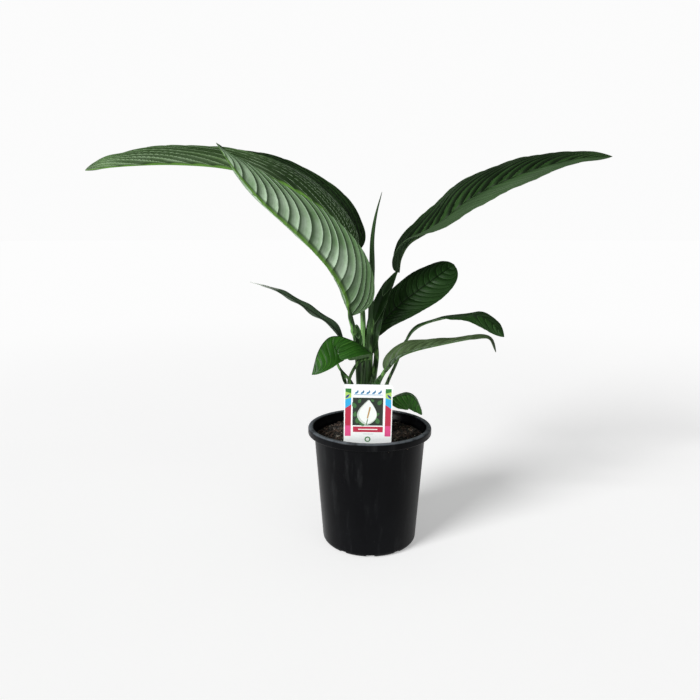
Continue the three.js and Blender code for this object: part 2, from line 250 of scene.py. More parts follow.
drain_mesh = bmesh.new()
for i in range(DRAIN_COUNT):
    turned_to = Matrix.Rotation((i + 0.5) * math.tau / DRAIN_COUNT, 4, "Z")
    at = turned_to @ Matrix.Translation((foot_edge + FOOT_RING, 0, 0)) @ Matrix.Diagonal((*DRAIN_SIZE, 1))
    bmesh.ops.create_cube(drain_mesh, size=1, matrix=at)
drain_data = bpy.data.meshes.new("drain_cutter")
drain_mesh.to_mesh(drain_data)
drain_mesh.free()
drain_cutter = bpy.data.objects.new("drain_cutter", drain_data)
bpy.context.scene.collection.objects.link(drain_cutter)
cut = pot.modifiers.new("drains", "BOOLEAN")
cut.object = drain_cutter
cut.solver = "EXACT"
bpy.context.view_layer.objects.active = pot
bpy.ops.object.modifier_apply(modifier=cut.name)
bpy.data.objects.remove(drain_cutter)


# ---- potting mix ----
# Moist composted bark and peat, mounded a little around the crown. Its body is one lump that fills
# the pot, and loose bark chips, crumbs and a few pale grains lie on top of it.

MIX_RISE = 3 * MM            # higher at the crown than at the wall
MIX_ROUGH = 2.2 * MM
MIX_RINGS = 46
MIX_TURN_STEPS = 160
CHIP_COUNT = 1900
CHIP_LENGTH = (1.2, 9, 2.4)  # shortest, longest and commonest, in millimetres
GRAIN_LENGTH = (0.9, 5, 1.6)
FIBRE_LENGTH = (5, 14, 7)
CHIP_TILT = 0.5              # radians either way from lying flat
CHIP_DENT = 0.16             # how far a chip's corners are moved, as a part of its size
CHIP_COLOURS = {
    "peat_crumb": ((0.030, 0.026, 0.022), 0.38),
    "bark_chip": ((0.075, 0.048, 0.036), 0.26),
    "pale_grain": ((0.27, 0.245, 0.21), 0.16),
    "bark_fibre": ((0.17, 0.125, 0.095), 0.20),
}


def mix_finish(name, colour):
    finish = Finish(name, roughness=0.9, specular=0.3)
    here = finish.place()
    lumps = finish.noise(here, 260, 6, 0.7)
    darker = tinted(colour, 0.35)
    paler = tinted(colour, 1.9)
    base = finish.mix(finish.spread(lumps, 0.3, 0.55), darker, colour)
    finish.set("Base Color", finish.mix(finish.spread(lumps, 0.56, 0.75), base, paler))
    finish.set("Normal", finish.bump(lumps, 0.0012, 0.9))
    return finish.material


mix_low, mix_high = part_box("potting_mix")
mix_level = mix_high.z - MIX_RISE
mix_radius = wall_inside - 0.5 * MM
crown_low, crown_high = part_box("crown")
crown_centre = (crown_low + crown_high) / 2
crown_radius = (crown_high.x - crown_low.x) / 2


def mix_height(x, y):
    """Height of the mix's lumpy top."""
    mound = 1 - min(1, math.hypot(x - crown_centre.x, y - crown_centre.y) / mix_radius)
    lumps = noise.fractal(Vector((x, y, 0.31)) * 95, 1.0, 2.1, 4)
    hollows = noise.noise(Vector((x, y, 0.7)) * 28)
    return mix_level + MIX_RISE * mound + MIX_ROUGH * (0.6 * lumps + 0.7 * hollows)


mix_profile = [(0, mix_low.z)] + corner(foot_edge, POT_CORNER + MM, inner_corner - 0.4 * MM, -90, -8)
mix_profile += [(mix_radius, mix_level - 2 * MM)]
mix_profile += [(mix_radius * (1 - i / MIX_RINGS), mix_level) for i in range(MIX_RINGS + 1)]
mix_mesh = turn(mix_profile, MIX_TURN_STEPS)
for vert in mix_mesh.verts:
    if vert.co.z > mix_level - MM:
        vert.co.z = mix_height(vert.co.x, vert.co.y)
smooth(mix_mesh, 70)
peat_skin = mix_finish("peat", (0.018, 0.016, 0.014))
new_piece("potting_mix_body", mix_mesh, [peat_skin], ["potting_mix"])

draw = random.Random(41)
chip_meshes = {name: bmesh.new() for name in CHIP_COLOURS}
chip_names = list(CHIP_COLOURS)
chip_shares = [CHIP_COLOURS[name][1] for name in chip_names]
for _ in range(CHIP_COUNT):
    name = draw.choices(chip_names, chip_shares)[0]
    away = mix_radius * 0.985 * math.sqrt(draw.random())
    bearing = draw.uniform(0, math.tau)
    x, y = away * math.cos(bearing), away * math.sin(bearing)
    if math.hypot(x - crown_centre.x, y - crown_centre.y) < crown_radius * 0.8:
        continue
    length = draw.triangular(*CHIP_LENGTH) * MM
    if name == "pale_grain":
        length = draw.triangular(*GRAIN_LENGTH) * MM
    size = (length, length * draw.uniform(0.2, 0.65), length * draw.uniform(0.15, 0.45))
    if name == "bark_fibre":
        length = draw.triangular(*FIBRE_LENGTH) * MM
        size = (length, draw.uniform(0.5, 1.1) * MM, draw.uniform(0.4, 0.8) * MM)
    tilt = Matrix.Rotation(draw.uniform(-CHIP_TILT, CHIP_TILT), 4, "X")
    tilt = tilt @ Matrix.Rotation(draw.uniform(-CHIP_TILT, CHIP_TILT), 4, "Y")
    spot = Matrix.Translation((x, y, mix_height(x, y) + size[2] * 0.2))
    at = spot @ Matrix.Rotation(draw.uniform(0, math.tau), 4, "Z") @ tilt @ Matrix.Diagonal((*size, 1))
    chip = bmesh.ops.create_cube(chip_meshes[name], size=1, matrix=at)
    for vert in chip["verts"]:
        vert.co += Vector([draw.uniform(-CHIP_DENT, CHIP_DENT) * extent for extent in size])
for name, chips in chip_meshes.items():
    new_piece(name + "s", chips, [mix_finish(name, CHIP_COLOURS[name][0])])


# ---- leaves: stalks and blades ----
# Every leaf grew as a stalk that clasps the crown, runs on as the midrib, and carries one blade.
# The blade's two halves fold up from the midrib and are pleated along their curved side veins.

# `stalk` runs from crown to blade, `spine` is the midrib, `face` is the way the upper side looks
# at base, middle and tip, and `left` and `right` are how far each half is folded up there, in
# degrees. `shape` holds the powers of the outline, `veins` is the number of pairs of side veins,
# `wave` is the size, number and start of the margin's waves, and `twist` turns the tip.
STALK_FOOT = 187.3
LEAVES = {
    "rear_left": dict(
        stalk=[(-10, 9), (-9.5, 13, 262), (-10, 18, 330), (-13, 25, 396), (-26, 32, 468)],
        radius=(6, 3.4),
        spine=[(-26, 32, 470), (-40, 32, 503), (-72, 27, 538), (-139, 14, 580), (-215, 2, 599),
               (-290, -8, 604), (-360, -14, 601), (-426, -18, 594)],
        face=[(0.8, -0.2, 0.4), (0.1, -0.05, 1), (0, 0.25, 1)], half=56, shape=(0.38, 0.72),
        left=(42, 30, 38), right=(46, 36, 50), veins=14, pleat=4.6, rise=0.27,
        wave=(0.8, 4, 0.2), twist=40),
    "front_left": dict(
        stalk=[(-15, -4), (-17, -6, 262), (-22, -9, 332), (-31, -18, 373)],
        radius=(5.6, 3.8), knuckle=0.78,
        spine=[(-31, -18, 375), (-39, -26, 409), (-61, -47, 449), (-100, -75, 494),
               (-150, -105, 542), (-183, -125, 582), (-205, -140, 617)],
        face=[(0.5, 0.75, 0.5), (0.3, 0.75, 0.6), (0.3, 0.75, 0.6)], half=56, shape=(0.34, 0.84),
        left=(46, 40, 40), right=(46, 44, 44), veins=16, pleat=5.2, wave=(0.7, 3, 0.1), twist=-60),
    "right": dict(
        stalk=[(-1, 10), (-0.5, 14.5, 262), (2, 24, 338), (11, 38, 380), (25, 49, 411), (44, 60, 436)],
        radius=(6, 3.4),
        spine=[(46, 60, 438), (50, 61, 462), (64, 60, 486), (92, 56, 504), (121, 50, 524),
               (157, 42, 554), (201, 30, 578), (258, 15, 600), (316, 5, 613), (364, 0, 616)],
        face=[(-0.9, -0.05, 0.3), (-0.2, -0.34, 1), (-0.1, -0.36, 1)], half=58, shape=(0.5, 0.88),
        left=(4, 17, 14), right=(38, 0, 12), veins=18, pleat=4.6, rise=0.13, wave=(1.0, 5, 0.0), twist=25),
    "middle": dict(
        stalk=[(2.5, -0.5), (3, -1, 235), (6, 4, 268), (11, 20, 303), (11, 38, 328)],
        radius=(5.4, 3.8),
        spine=[(11, 44, 332), (24, 51, 358), (53, 61, 386), (86, 71, 410), (119, 80, 433),
               (144, 88, 450)],
        face=[(-0.3, -0.8, 0.5), (-0.3, -0.8, 0.6), (0.2, -0.7, 0.7)], half=37, shape=(0.72, 0.42),
        left=(8, 0, -20), right=(6, -6, -10), veins=15, pleat=2.2, wave=(0.8, 3, 0.3), twist=0),
    "upper_right": dict(
        stalk=[(8, -9), (16, -10, 225), (27, -10, 266), (40, -5, 295), (54, 4, 328)],
        radius=(3.4, 2.4),
        spine=[(55, 5, 330), (68, 10, 348), (88, 13, 360), (122, 13, 369), (150, 7, 373),
               (172, -2, 374), (190, -11, 364), (208, -20, 343)],
        face=[(-0.7, -0.1, 0.6), (-0.1, 0.1, 1), (0.3, -0.7, 0.8)], half=28, shape=(0.95, 0.8),
        left=(5, 3, 0), right=(5, -5, -45), veins=13, pleat=1.8, wave=(1.0, 4, 0.5), twist=0),
    "lower_right": dict(
        stalk=[(-1, -10), (4, -16, 225), (10, -21, 262), (21, -29, 289)],
        radius=(4.4, 3.2),
        spine=[(22, -30, 291), (41, -45, 316), (65, -60, 330), (109, -75, 343), (143, -85, 351),
               (168, -91, 353), (179, -95, 333)],
        face=[(-0.6, -0.2, 0.7), (-0.1, -0.1, 1), (0.5, -0.3, 0.8)], half=27, shape=(0.42, 0.7),
        left=(50, 6, 6), right=(16, 16, 10), veins=13, pleat=1.5, wave=(0.6, 4, 0.2), twist=0),
    "thin_left": dict(
        stalk=[(-19, 5), (-22, 5, 225), (-29, 5, 262), (-49, 10, 287), (-53, 16, 302), (-47, 20, 317)],
        radius=(3, 2),
        spine=[(-46, 20, 319), (-49, 23, 336), (-62, 26, 354), (-86, 30, 371), (-113, 30, 389),
               (-138, 27, 405), (-163, 22, 416), (-191, 15, 426)],
        face=[(0.7, -0.3, 0.5), (0.2, -0.5, 0.8), (0.2, -0.5, 0.8)], half=11, shape=(0.24, 0.95),
        left=(30, 20, 30), right=(10, 16, 30), veins=6, pleat=0.5, wave=(1.6, 4, 0.1), twist=50),
    "bright_left": dict(
        stalk=[(-12, -13), (-24, -17, 230), (-34, -20, 266), (-27, -23, 291), (-15, -26, 307),
               (-1, -27, 311)],
        radius=(3, 2.2),
        spine=[(4, -28, 316), (-7, -36, 328), (-21, -42, 338), (-35, -47, 345), (-50, -52, 350),
               (-66, -58, 347), (-80, -66, 328), (-89, -74, 295)],
        face=[(0.3, -0.5, 0.8), (-0.05, -0.7, 0.7), (-0.8, -0.6, 0.2)], half=42, shape=(0.95, 0.62),
        left=(45, -38, -15), right=(-100, -80, -60), lobe=2.1, veins=10, pleat=1.6, rise=0.25,
        wave=(0.5, 3, 0.2), twist=0),
    "low_right": dict(
        stalk=[(8, 9), (17, 14, 212), (26, 22, 230)],
        radius=(3, 2.2),
        spine=[(28, 24, 231), (40, 30, 233), (55, 36, 235), (69, 40, 234), (79, 42, 225),
               (86, 42, 211), (90, 40, 200)],
        face=[(-0.3, -0.6, 0.8), (0.2, -0.7, 0.7), (0.8, -0.5, 0.3)], half=26, shape=(0.4, 0.6),
        left=(-60, -50, -20), right=(-10, -16, -5), veins=9, pleat=1.3, wave=(0.4, 3, 0.2), twist=0),
}
LEAF_THICKNESS = 0.5 * MM
KEEL_HEIGHT = 3.6 * MM       # how far the midrib stands out under the blade at its base
VEIN_RISE = 0.07             # a side vein climbs this much of the blade's length on its way out
VEIN_SWEEP = 0.17            # and this much more as it turns up towards the tip at the margin
PLEAT_CREST = 0.68           # each pleat rises slowly from one vein and drops steeply to the next
PLEAT_FADE = 0.07            # the pleats reach their full depth this far out from the midrib
VEIN_WANDER = 0.45           # how unevenly the side veins are spaced
BLADE_ARCH = 0.16            # each half bulges upwards by this part of its width
TIP_WIDTH = 0.012            # half width left at the base and tip, as a part of the widest
TWIST_START = 0.86
KEEL_WIDTH = 2.6 * MM
RIB_GROOVE = (0.5 * MM, 1.1 * MM)   # depth and half width of the groove over the midrib
BIG_BLADE = 50               # blades with a greater half width than this, in millimetres
BIG_GRID = (400, 60)         # steps along and across a big blade
SMALL_GRID = (200, 44)
SPLINE_STEPS = 40


def evenly_along(points, steps):
    """Evenly spaced points on the smooth curve through the given ones, in metres."""
    given = [Vector((*p, STALK_FOOT)[:3]) * MM for p in points]
    ends = [2 * given[0] - given[1], *given, 2 * given[-1] - given[-2]]
    dense = [given[0]]
    for a, b, c, d in zip(ends, ends[1:], ends[2:], ends[3:]):
        start, finish = (c - a) / 2, (d - b) / 2
        for i in range(1, SPLINE_STEPS + 1):
            x = i / SPLINE_STEPS
            cubic = (2 * b - 2 * c + start + finish) * x ** 3
            dense.append(cubic + (3 * c - 3 * b - 2 * start - finish) * x ** 2 + start * x + b)
    reached = [0.0]
    for a, b in zip(dense, dense[1:]):
        reached.append(reached[-1] + (b - a).length)
    spaced = []
    k = 0
    for i in range(steps + 1):
        goal = reached[-1] * i / steps
        while k < len(dense) - 2 and reached[k + 1] < goal:
            k += 1
        part = (goal - reached[k]) / (reached[k + 1] - reached[k])
        spaced.append(dense[k].lerp(dense[k + 1], min(1, part)))
    return spaced


def directions(centres):
    """Unit directions along a line of points."""
    last = len(centres) - 1
    return [(centres[min(i + 1, last)] - centres[max(i - 1, 0)]).normalized() for i in range(last + 1)]


def blend(base, middle, tip, t):
    """A smooth value that passes through three given ones at t = 0, 0.5 and 1."""
    return base * (1 - t) * (1 - 2 * t) + middle * 4 * t * (1 - t) + tip * t * (2 * t - 1)


def ease(x, low, high):
    """0 below low, 1 above high, and smooth between."""
    x = max(0.0, min(1.0, (x - low) / (high - low)))
    return x * x * (3 - 2 * x)


def blade_frames(leaf, steps):
    """Midrib point, sideways and upward directions and half width at each step along a blade."""
    centres = evenly_along(leaf["spine"], steps)
    p, q = leaf["shape"]
    widest = p / (p + q)
    peak = widest ** p * (1 - widest) ** q
    frames = []
    for i, (centre, along) in enumerate(zip(centres, directions(centres))):
        t = i / steps
        up = blend(*[Vector(f) for f in leaf["face"]], t)
        up = (up - along * up.dot(along)).normalized()
        up.rotate(Matrix.Rotation(math.radians(leaf["twist"] * ease(t, TWIST_START, 1)), 3, along))
        width = leaf["half"] * MM * max(TIP_WIDTH, t ** p * (1 - t) ** q / peak)
        frames.append((centre, along.cross(up), up, width))
    return frames


def frame_at(frames, t):
    """The blade's frame at any t, between the two nearest steps."""
    at = max(0.0, min(1.0, t)) * (len(frames) - 1)
    i = min(int(at), len(frames) - 2)
    part = at - i
    near, far = frames[i], frames[i + 1]
    width = near[3] + (far[3] - near[3]) * part
    return near[0].lerp(far[0], part), near[1].lerp(far[1], part), near[2].lerp(far[2], part), width


def climb(leaf, across):
    """How far towards the tip a side vein has climbed by the time it is this far out."""
    return leaf.get("rise", VEIN_RISE) * across + VEIN_SWEEP * across ** 3


def vein_place(leaf, t, across):
    """Which side vein a spot lies at: whole numbers are on a vein. The veins are not quite even."""
    start = t - climb(leaf, across)
    wander = noise.noise(Vector((start * 9, leaf["half"], across * 0.5)))
    return leaf["veins"] * start + VEIN_WANDER * wander


def along_veins(leaf, u, across):
    """Slides a grid column towards the tip, so that it runs along a vein and not across it."""
    fall = max(0.45, 1.7 * climb(leaf, 1))
    return u + climb(leaf, across) * ease(u, 0, 0.25) * (1 - ease(u, 1 - fall, 1))


def blade_spot(leaf, frames, t, s):
    """The point of a blade at t along it and s across it, from -1 to 1."""
    centre, side, up, width = frame_at(frames, t)
    fold = math.radians(blend(*(leaf["left"] if s < 0 else leaf["right"]), t))
    across = abs(s)
    sign = -1 if s < 0 else 1
    if s > 0:
        width *= 1 + leaf.get("lobe", 0) * (1 - ease(t, 0, 0.3))
    out = side * (sign * math.cos(fold)) + up * math.sin(fold)
    above = up * math.cos(fold) - side * (sign * math.sin(fold))
    part = vein_place(leaf, t, across) % 1
    rise = 0.5 * part / PLEAT_CREST if part < PLEAT_CREST else 1 - 0.5 * (1 - part) / (1 - PLEAT_CREST)
    crease = math.sin(math.pi * rise) ** 0.7 - 0.7
    fade = (1 - math.exp(-across / PLEAT_FADE)) * (1 - 0.8 * across ** 3) * ease(t, 0, 0.06)
    narrow = min(1, width / (0.6 * leaf["half"] * MM)) ** 1.5
    strong = 1 + 0.4 * noise.noise(Vector((vein_place(leaf, t, across) * 0.7, leaf["half"], sign)))
    pleat = leaf["pleat"] * MM * crease * fade * narrow * strong
    arch = BLADE_ARCH * width * across * (1 - across)
    size, count, start = leaf["wave"]
    swing = math.sin(math.tau * (count * t + start + (0.31 if s > 0 else 0)))
    wander = noise.noise(Vector((t * 9, sign * 3, leaf["half"])))
    ripple = size * MM * across ** 2.5 * narrow * (swing + 0.8 * wander)
    return centre + out * (width * across) + above * (pleat + arch + ripple)


def blade_mesh(leaf, steps, across_steps):
    """A pleated blade with its thickness, and a keel under its midrib."""
    frames = blade_frames(leaf, steps)
    bm = bmesh.new()
    vein = bm.verts.layers.float.new("vein")
    across = bm.verts.layers.float.new("across")
    along = bm.verts.layers.float.new("along")
    bmesh.ops.create_grid(bm, x_segments=steps, y_segments=across_steps, size=0.5)
    for vert in bm.verts:
        s = 2 * vert.co.y
        s = math.copysign(abs(s) ** 1.25, s)
        t = along_veins(leaf, vert.co.x + 0.5, abs(s))
        vert[vein] = vein_place(leaf, t, abs(s)) + 40
        vert[across] = s
        vert[along] = t
        vert.co = blade_spot(leaf, frames, t, s)
    bm.normal_update()
    middle = min(bm.verts, key=lambda v: abs(v[along] - 0.5) + abs(v[across] - 0.4))
    if middle.normal.dot(frames[steps // 2][2]) < 0:
        bmesh.ops.reverse_faces(bm, faces=bm.faces)
        bm.normal_update()
    under = bmesh.ops.extrude_face_region(bm, geom=bm.faces[:], use_keep_orig=True)["geom"]
    for part in under:
        if isinstance(part, bmesh.types.BMFace):
            part.material_index = 1
    groove_depth, groove_width = RIB_GROOVE
    under_verts = {part for part in under if isinstance(part, bmesh.types.BMVert)}
    for vert in bm.verts:
        t = vert[along]
        _, _, up, width = frame_at(frames, t)
        away = abs(vert[across]) * width
        slim = max(0, 1 - t) ** 0.8 * ease(1 - t, 0, 0.3) * min(1, leaf["radius"][1] / 3.4)
        if vert in under_verts:
            vert.co -= vert.normal * LEAF_THICKNESS
            keel_width = KEEL_WIDTH * slim + 0.4 * MM
            vert.co -= up * (KEEL_HEIGHT * slim * math.exp(-(away / keel_width) ** 2))
        else:
            vert.co -= up * (groove_depth * slim * math.exp(-(away / groove_width) ** 2))
    bmesh.ops.recalc_face_normals(bm, faces=bm.faces)
    smooth(bm, 80)
    return bm


def upper_side(name, dark, light, line, rib=None, painted_shade_amount=0.45, near=None):
    """The satin upper skin, with painted shade where each pleat drops to the vein and in the groove over
    the midrib, and a painted sheen on one half when near is given.
    """
    finish = Finish(name, roughness=0.42, specular=0.17)
    here = finish.place()
    vein = finish.attribute("vein")
    across = finish.math("ABSOLUTE", finish.attribute("across"))
    part = finish.math("FRACT", vein)
    fine = finish.math("PINGPONG", finish.math("MULTIPLY", vein, 4), 0.5)
    blotch = finish.noise(here, 26, 4, 0.6)
    base = finish.mix(finish.spread(blotch, 0.3, 0.7), dark, light)
    lengthwise = finish.add("CombineXYZ", {"X": finish.math("MULTIPLY", vein, 3), "Y": across}).outputs[0]
    streaks = finish.noise(lengthwise, 2, 4, 0.6)
    pale = tinted(light, 2.1)
    base = finish.mix(finish.spread(streaks, 0.45, 0.8, 0, 0.5), base, pale)
    shade = tinted(dark, 0.3)
    # painted sheen: one half of the blade is paled towards its margin
    if near:
        base = finish.mix(finish.spread(finish.attribute("across"), 0.0, 0.5, 0, 0.6), base, near)
    # painted shade: each pleat darkens towards the next vein
    base = finish.mix(finish.spread(part, 0.5, 0.88, 0, painted_shade_amount), base, shade)
    base = finish.mix(finish.spread(part, 0.0, 0.16, 0.6, 0), base, line)
    # painted shade in the groove over the midrib, unless a midrib colour is given
    base = finish.mix(finish.spread(across, 0.015, 0.045, 0.85, 0), base, rib or shade)
    edge = finish.spread(across, 0.975, 0.995, 0, 0.5)
    finish.set("Base Color", finish.mix(edge, base, line))
    finish.set("Roughness", finish.spread(blotch, 0.3, 0.7, 0.36, 0.48))
    cells = finish.noise(here, 700, 2, 0.5)
    skin = finish.bump(cells, 0.00008, 0.5)
    finish.set("Normal", finish.bump(finish.spread(fine, 0, 0.5), 0.00015, 0.4, skin))
    return finish.material


def under_side(name, dark, light, keel, painted_base_shade=0.0):
    """The matt underside: pale near the midrib, greener at the margin, with raised veins, painted shade
    before each vein and beside the keel, and painted shade over the lower blade when asked for.
    """
    finish = Finish(name, roughness=0.55, specular=0.2)
    here = finish.place()
    vein = finish.attribute("vein")
    across = finish.math("ABSOLUTE", finish.attribute("across"))
    part = finish.math("FRACT", vein)
    fine = finish.math("PINGPONG", finish.math("MULTIPLY", vein, 4), 0.5)
    blotch = finish.noise(here, 30, 4, 0.6)
    base = finish.mix(finish.spread(blotch, 0.3, 0.7), dark, light)
    green = (dark[0] * 0.42, dark[1] * 0.58, dark[2] * 0.32)
    base = finish.mix(finish.spread(across, 0.35, 1.0, 0, 0.85), base, green)
    along = finish.attribute("along")
    base = finish.mix(finish.spread(along, 0.0, 0.26, 0.95, 0), base, tinted(green, 0.62))
    base = finish.mix(finish.spread(along, 0.93, 0.985, 0, 0.85), base, (0.02, 0.045, 0.014))
    base = finish.mix(finish.spread(fine, 0.1, 0.5, 0.2, 0), base, dark)
    # painted shade over the lower third of the blade, as strong as the last argument asks
    base = finish.mix(finish.spread(along, 0.33, 0.48, painted_base_shade, 0), base, (0.008, 0.024, 0.009))
    painted_shade_green = tinted(green, 0.4)
    # painted shade: each pleat darkens towards the next raised vein
    base = finish.mix(finish.spread(part, 0.5, 0.97, 0, 0.85), base, painted_shade_green)
    base = finish.mix(finish.spread(part, 0.0, 0.12, 0.8, 0), base, light)
    # painted shadow of the keel beside the midrib
    base = finish.mix(finish.spread(across, 0.07, 0.14, 0.8, 0), base, painted_shade_green)
    finish.set("Base Color", finish.mix(finish.spread(across, 0.03, 0.075, 1, 0), base, keel))
    cells = finish.noise(here, 700, 2, 0.5)
    skin = finish.bump(cells, 0.00008, 0.5)
    finish.set("Normal", finish.bump(finish.spread(fine, 0, 0.5), 0.00018, 0.5, skin))
    return finish.material


def withered(name, dark, light, dry):
    """Skin of the old thin leaf: dull grey green, and dry as paper towards the tip."""
    finish = Finish(name, roughness=0.6, specular=0.25)
    here = finish.place()
    vein = finish.attribute("vein")
    fine = finish.math("PINGPONG", finish.math("MULTIPLY", vein, 5), 0.5)
    across = finish.math("ABSOLUTE", finish.attribute("across"))
    blotch = finish.noise(here, 24, 3, 0.5)
    half = finish.spread(finish.attribute("across"), -0.2, 0.2)
    base = finish.mix(half, light, dark)
    base = finish.mix(finish.spread(blotch, 0.35, 0.65, 0, 0.4), base, dark)
    base = finish.mix(finish.spread(across, 0.05, 0.22, 0.95, 0), base, (0.010, 0.020, 0.008))
    drying = finish.math("ADD", finish.attribute("along"), finish.spread(blotch, 0.3, 0.7, -0.08, 0.08))
    finish.set("Base Color", finish.mix(finish.spread(drying, 0.7, 0.93), base, dry))
    finish.set("Normal", finish.bump(finish.spread(fine, 0, 0.5), 0.0003, 0.7))
    return finish.material


def stalk_finish():
    """Smooth green stalk skin, faintly ribbed along its length, paler towards the crown."""
    finish = Finish("stalk_skin", roughness=0.42, specular=0.3)
    here = finish.place()
    streak = finish.noise(finish.place((150, 150, 6)), 1, 4, 0.6)
    blotch = finish.noise(here, 40, 3, 0.6)
    green = finish.mix(finish.spread(streak, 0.43, 0.61), (0.006, 0.026, 0.003), (0.14, 0.30, 0.08))
    green = finish.mix(finish.spread(blotch, 0.4, 0.75, 0, 0.5), green, (0.10, 0.22, 0.06))
    foot = finish.spread(finish.attribute("along"), 0.0, 0.22, 1, 0)
    finish.set("Base Color", finish.mix(foot, green, (0.16, 0.22, 0.09)))
    finish.set("Normal", finish.bump(streak, 0.0004, 0.4))
    return finish.material


CHANNEL_DEPTH = 0.42         # of the groove along a stalk's upper side, as a part of its radius
WING_REACH = 0.55            # how far the foot's wings stand out, as a part of its radius
KNUCKLE_REACH = 0.4


def stalk_mesh(leaf, steps=90, sides=28):
    """A stalk with a channelled upper side and a winged foot, that runs on a little under the blade."""
    start, onward = [Vector(p) for p in leaf["spine"][:2]]
    centres = evenly_along(leaf["stalk"] + [tuple(start.lerp(onward, 0.6))], steps)
    thick, thin = [r * MM for r in leaf["radius"]]
    blade_up = Vector(leaf["face"][0])
    bm = bmesh.new()
    along_layer = bm.verts.layers.float.new("along")
    bmesh.ops.create_grid(bm, x_segments=steps, y_segments=sides, size=0.5)
    ways = directions(centres)
    for vert in bm.verts:
        t = vert.co.x + 0.5
        turn_by = math.tau * (vert.co.y + 0.5)
        i = round(t * steps)
        up = (blade_up - ways[i] * blade_up.dot(ways[i])).normalized()
        side = ways[i].cross(up)
        radius = (thick + (thin - thick) * t) * (1 - 0.75 * ease(t, 0.88, 1))
        radius *= 1 + KNUCKLE_REACH * math.exp(-((t - leaf.get("knuckle", 9)) / 0.02) ** 2)
        lift = math.cos(turn_by)
        from_top = min(turn_by, math.tau - turn_by)
        channel = CHANNEL_DEPTH * math.exp(-(from_top / 0.5) ** 2)
        from_wing = abs(turn_by - math.pi) - 2.25
        wing = WING_REACH * (1 - ease(t, 0.35, 0.62)) * math.exp(-(from_wing / 0.22) ** 2)
        reach = radius * (1 - channel + wing)
        vert[along_layer] = t
        vert.co = centres[i] + up * (reach * lift) + side * (reach * math.sin(turn_by))
    bmesh.ops.remove_doubles(bm, verts=bm.verts, dist=1e-5)
    bmesh.ops.holes_fill(bm, edges=bm.edges, sides=0)
    bmesh.ops.recalc_face_normals(bm, faces=bm.faces)
    smooth(bm, 60)
    return bm


old_upper = upper_side("leaf_upper", (0.008, 0.026, 0.0045), (0.020, 0.056, 0.012),
                       (0.060, 0.120, 0.040), painted_shade_amount=0.9)
# the near colour is a painted sheen on one half of this blade
arched_upper = upper_side("leaf_upper_arched", (0.008, 0.026, 0.0045), (0.022, 0.060, 0.013),
                          (0.070, 0.130, 0.050), painted_shade_amount=0.92, near=(0.052, 0.092, 0.042))
flat_upper = upper_side("leaf_upper_flat", (0.007, 0.027, 0.004), (0.014, 0.046, 0.008),
                        (0.038, 0.100, 0.026), painted_shade_amount=0.5)
olive_upper = upper_side("leaf_upper_olive", (0.036, 0.062, 0.020), (0.080, 0.130, 0.055),
                         (0.12, 0.19, 0.09), (0.16, 0.30, 0.075))
old_under = under_side("leaf_underside", (0.155, 0.255, 0.130), (0.35, 0.455, 0.33),
                       (0.10, 0.23, 0.035))
# the rear left underside gets painted shade over its lower third
green_under = under_side("leaf_underside_green", (0.16, 0.28, 0.105), (0.36, 0.50, 0.31),
                         (0.13, 0.30, 0.045), painted_base_shade=0.93)
young_upper = upper_side("young_leaf_upper", (0.007, 0.043, 0.003), (0.020, 0.092, 0.006),
                         (0.075, 0.22, 0.030))
# a paler copy of the young upper skin: painted light for the low right leaf, which sits in shade
young_upper_brightened = upper_side("young_leaf_upper_brightened", (0.025, 0.11, 0.012), (0.055, 0.19, 0.030),
                         (0.16, 0.34, 0.09))
young_under = under_side("young_leaf_underside", (0.26, 0.40, 0.22), (0.38, 0.52, 0.34),
                         (0.16, 0.32, 0.07))
# a darker copy of the underside: painted shade for the right leaf, whose underside hangs out of the light
shaded_under = under_side("leaf_underside_painted_shade", (0.050, 0.105, 0.042), (0.085, 0.16, 0.075),
                          (0.04, 0.09, 0.02))
thin_skin = withered("withered_leaf", (0.035, 0.065, 0.032), (0.15, 0.20, 0.145),
                     (0.62, 0.66, 0.60))
stalk_skin = stalk_finish()
wing_skin = upper_side("wing_skin", (0.010, 0.034, 0.006), (0.020, 0.060, 0.012),
                       (0.20, 0.32, 0.16))
BLADE_SKINS = {
    "rear_left": [old_upper, green_under], "front_left": [old_upper, old_under],
    "right": [arched_upper, shaded_under], "middle": [flat_upper, old_under],
    "upper_right": [flat_upper, old_under], "lower_right": [olive_upper, old_under],
    "thin_left": [thin_skin, thin_skin], "bright_left": [young_upper, young_under],
    "low_right": [young_upper_brightened, young_under],
}

for name, leaf in LEAVES.items():
    new_piece("leaf_stalk_" + name, stalk_mesh(leaf), [stalk_skin], ["stalk_" + name])
    mesh = blade_mesh(leaf, *(BIG_GRID if leaf["half"] > BIG_BLADE else SMALL_GRID))
    new_piece("leaf_blade_" + name, mesh, BLADE_SKINS[name], ["blade_" + name])


# ---- crown ----
# The short thick stem at the top of the mix, wrapped in the dry bases of older leaves. The stalks
# stand on it so close together that they look like one stem.

CROWN_RIBS = 14
CROWN_TURN_STEPS = 84


def crown_finish():
    finish = Finish("crown_skin", roughness=0.7, specular=0.3)
    here = finish.place()
    fibres = finish.noise(finish.place((420, 420, 30)), 1, 5, 0.65)
    blotch = finish.noise(here, 90, 4, 0.6)
    green = finish.mix(finish.spread(fibres, 0.35, 0.7), (0.030, 0.040, 0.014), (0.10, 0.125, 0.045))
    papery = finish.spread(blotch, 0.5, 0.68)
    finish.set("Base Color", finish.mix(papery, green, (0.12, 0.075, 0.035)))
    finish.set("Normal", finish.bump(fibres, 0.0009, 0.8))
    return finish.material


